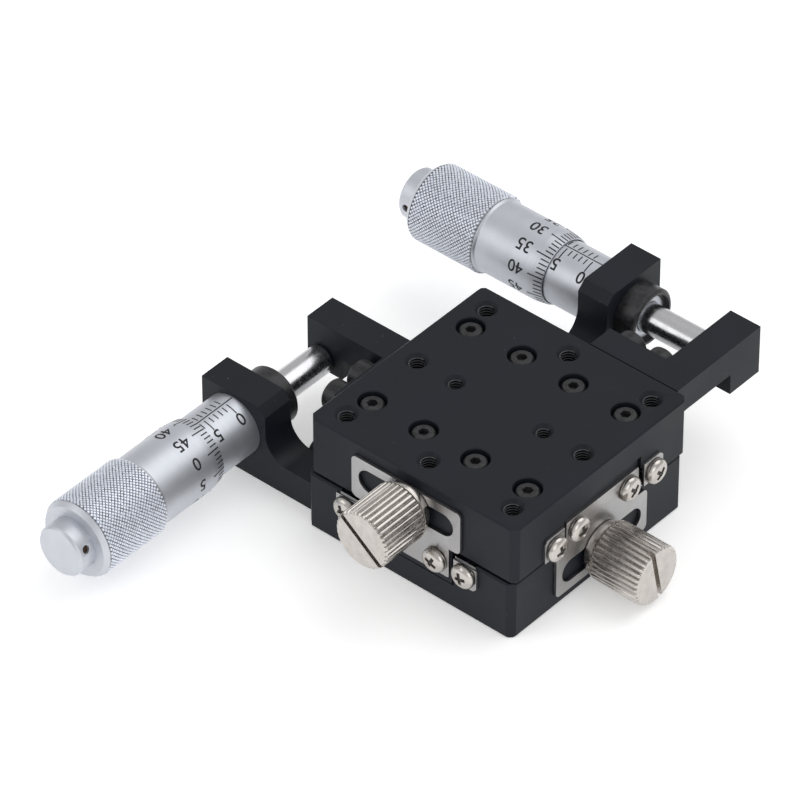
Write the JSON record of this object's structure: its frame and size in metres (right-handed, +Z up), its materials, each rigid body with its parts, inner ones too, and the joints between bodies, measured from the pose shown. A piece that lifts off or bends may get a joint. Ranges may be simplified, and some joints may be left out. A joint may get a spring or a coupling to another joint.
{
  "type": "two-axis translation stage",
  "caption": "Square black stage with crossed-roller ways, moved in X and Y by graduated dial heads and held by knurled lock knobs.",
  "frame": {"origin": "centre of the underside of the base", "axes": "+Z up out of the table's top face; +Y the lower way, pushed by the lower dial head; +X the upper way, pushed by the upper dial head"},
  "size_m": [0.0785, 0.0992, 0.0215],
  "materials": {
    "anodised": "black anodised, fine satin",
    "rail_steel": "ground",
    "black_screws": "black oxide",
    "nickel": "warm nickel plate",
    "satin_chrome": "satin chrome plate",
    "spindle_steel": "polished",
    "nut_black": "black oxide, smooth",
    "cage_brass": "rolled",
    "spring_steel": "drawn wire"
  },
  "bodies": {
    "base": {"base_block": "anodised", "base_rail_left": "rail_steel", "base_rail_right": "rail_steel", "base_rail_screws": "black_screws", "base_end_tabs": "nickel", "base_tab_screws": "nickel", "base_spring_pin": "rail_steel", "y_holder": "anodised", "y_holder_screws": "black_screws", "y_sleeve": "satin_chrome", "y_clamp_nut": "nut_black", "y_return_spring": "spring_steel"},
    "carriage": {"carriage_cross": "anodised", "lower_inner_rails": "rail_steel", "upper_inner_rails": "rail_steel", "inner_rail_screws": "black_screws", "x_lock_plate": "nickel", "y_lock_plate": "nickel", "lock_plate_screws": "nickel", "lower_spring_pin": "rail_steel", "upper_spring_pin": "rail_steel", "x_holder": "anodised", "x_holder_screws": "black_screws", "x_sleeve": "satin_chrome", "x_clamp_nut": "nut_black", "y_bracket": "anodised", "y_bracket_screws": "black_screws", "x_return_spring": "spring_steel"},
    "table": {"table_block": "anodised", "table_rail_front": "rail_steel", "table_rail_back": "rail_steel", "table_rail_screws": "black_screws", "table_end_tabs": "nickel", "table_tab_screws": "nickel", "table_spring_pin": "rail_steel", "x_bracket": "anodised", "x_bracket_screws": "black_screws"},
    "y_spindle": {"y_spindle": "spindle_steel"},
    "y_thimble": {"y_thimble": "satin_chrome", "y_thimble_cap": "satin_chrome"},
    "x_spindle": {"x_spindle": "spindle_steel"},
    "x_thimble": {"x_thimble": "satin_chrome", "x_thimble_cap": "satin_chrome"},
    "y_cages": {"y_cages": "cage_brass", "y_rollers": "rail_steel"},
    "x_cages": {"x_cages": "cage_brass", "x_rollers": "rail_steel"},
    "x_lock_washer": {"x_lock_washer": "nickel"},
    "x_lock_knob": {"x_lock_knob": "nickel"},
    "y_lock_washer": {"y_lock_washer": "nickel"},
    "y_lock_knob": {"y_lock_knob": "nickel"}
  },
  "joints": [
    {"name": "y_spindle_slide", "type": "slide", "parent": "base", "child": "y_spindle", "axis": [0, 1, 0], "range_m": [-0.00657, 0.00643]},
    {"name": "y_thimble_turn", "type": "hinge", "parent": "y_spindle", "child": "y_thimble", "pos_m": [-0.0368, -0.02573, 0.00855], "axis": [0, 1, 0], "range_deg": [-4730.41, 4629.61]},
    {"name": "carriage_slide", "type": "slide", "parent": "base", "child": "carriage", "axis": [0, 1, 0], "range_m": [-0.00657, 0.00643], "deforming": ["y_return_spring"]},
    {"name": "y_cages_slide", "type": "slide", "parent": "base", "child": "y_cages", "axis": [0, 1, 0], "range_m": [-0.00329, 0.00322]},
    {"name": "x_spindle_slide", "type": "slide", "parent": "carriage", "child": "x_spindle", "axis": [1, 0, 0], "range_m": [-0.0072, 0.0058]},
    {"name": "x_thimble_turn", "type": "hinge", "parent": "x_spindle", "child": "x_thimble", "pos_m": [-0.0173, 0.03687, 0.01475], "axis": [1, 0, 0], "range_deg": [-5184.01, 4176.01]},
    {"name": "table_slide", "type": "slide", "parent": "carriage", "child": "table", "axis": [1, 0, 0], "range_m": [-0.0072, 0.0058], "deforming": ["x_return_spring"]},
    {"name": "x_cages_slide", "type": "slide", "parent": "carriage", "child": "x_cages", "axis": [1, 0, 0], "range_m": [-0.0036, 0.0029]},
    {"name": "x_lock_travel", "type": "slide", "parent": "table", "child": "x_lock_washer", "axis": [0, 1, 0], "range_m": [-0.00025, 0]},
    {"name": "x_lock_turn", "type": "hinge", "parent": "x_lock_washer", "child": "x_lock_knob", "pos_m": [0.0005, -0.022, 0.0158], "axis": [0, 1, 0], "range_deg": [-180.01, 0.01]},
    {"name": "y_lock_travel", "type": "slide", "parent": "base", "child": "y_lock_washer", "axis": [-1, 0, 0], "range_m": [-0.00025, 0]},
    {"name": "y_lock_turn", "type": "hinge", "parent": "y_lock_washer", "child": "y_lock_knob", "pos_m": [0.022, 0, 0.0057], "axis": [-1, 0, 0], "range_deg": [-180.01, 0.01]}
  ],
  "couplings": [
    {"joint": "y_spindle_slide", "follows": "carriage_slide", "ratio": 1},
    {"joint": "y_thimble_turn", "follows": "carriage_slide", "rad_per_m": 12566},
    {"joint": "y_cages_slide", "follows": "carriage_slide", "ratio": 0.5},
    {"joint": "x_spindle_slide", "follows": "table_slide", "ratio": 1},
    {"joint": "x_thimble_turn", "follows": "table_slide", "rad_per_m": 12566},
    {"joint": "x_cages_slide", "follows": "table_slide", "ratio": 0.5},
    {"joint": "x_lock_turn", "follows": "x_lock_travel", "rad_per_m": 12566},
    {"joint": "y_lock_turn", "follows": "y_lock_travel", "rad_per_m": 12566}
  ]
}
